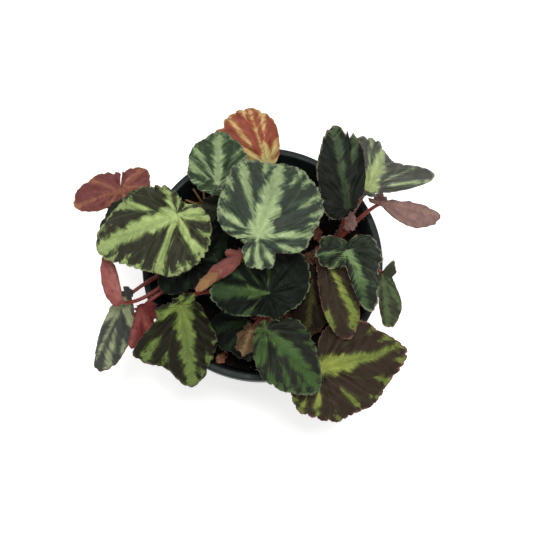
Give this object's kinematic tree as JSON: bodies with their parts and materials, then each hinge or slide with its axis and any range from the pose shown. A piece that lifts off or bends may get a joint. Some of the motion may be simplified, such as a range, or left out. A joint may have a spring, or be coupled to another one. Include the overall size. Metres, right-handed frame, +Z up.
{
  "type": "potted begonia",
  "caption": "Rhizome begonia with striped, toothed leaves on red stalks, in a round dark green plastic nursery pot filled with peat.",
  "frame": {"origin": "centre of the pot's flat underside, where it stands", "axes": "+Z up the pot's axis; +Y towards the side where the reddish leaf stands up behind the crown; +X to the right of it"},
  "size_m": [0.2259, 0.1887, 0.1733],
  "materials": {
    "pot_green": "satin moulded plastic",
    "peat": "dark damp peat, rough",
    "leaf_green": "soft leaf, satin, pale green stripes on dark green to brown",
    "leaf_red": "leaf underside, red with paler veins",
    "stem_red": "fleshy stalk, red-brown, fine pale hairs",
    "dry_tan": "dry plant matter, dull tan"
  },
  "bodies": {
    "root": {"pot": "pot_green", "soil": "peat", "dry_stalks": "dry_tan", "stems_west": "stem_red", "stems_east": "stem_red", "stems_south": "stem_red", "stems_north": "stem_red", "leaf_01": "leaf_green", "leaf_02": "leaf_green", "leaf_03": "leaf_green", "leaf_06": "leaf_green", "leaf_08": "leaf_green", "leaf_10": "leaf_green", "leaf_11": "leaf_green", "leaf_13": "leaf_green", "leaf_14": "leaf_green", "leaf_15": "leaf_green", "leaf_17": "leaf_green", "leaf_19": "leaf_green", "leaf_20": "leaf_green", "leaf_21": "leaf_green", "leaf_22": "leaf_green", "leaf_23": "leaf_green", "leaf_24": "leaf_green", "leaf_25": "leaf_green", "leaf_26": "leaf_green", "bract": "leaf_red", "leaf_04": "leaf_red", "leaf_05": "leaf_red", "leaf_07": "leaf_red", "leaf_09": "leaf_red", "leaf_12": "leaf_red", "leaf_27": "leaf_red", "dried_leaf": "dry_tan"}
  },
  "joints": []
}
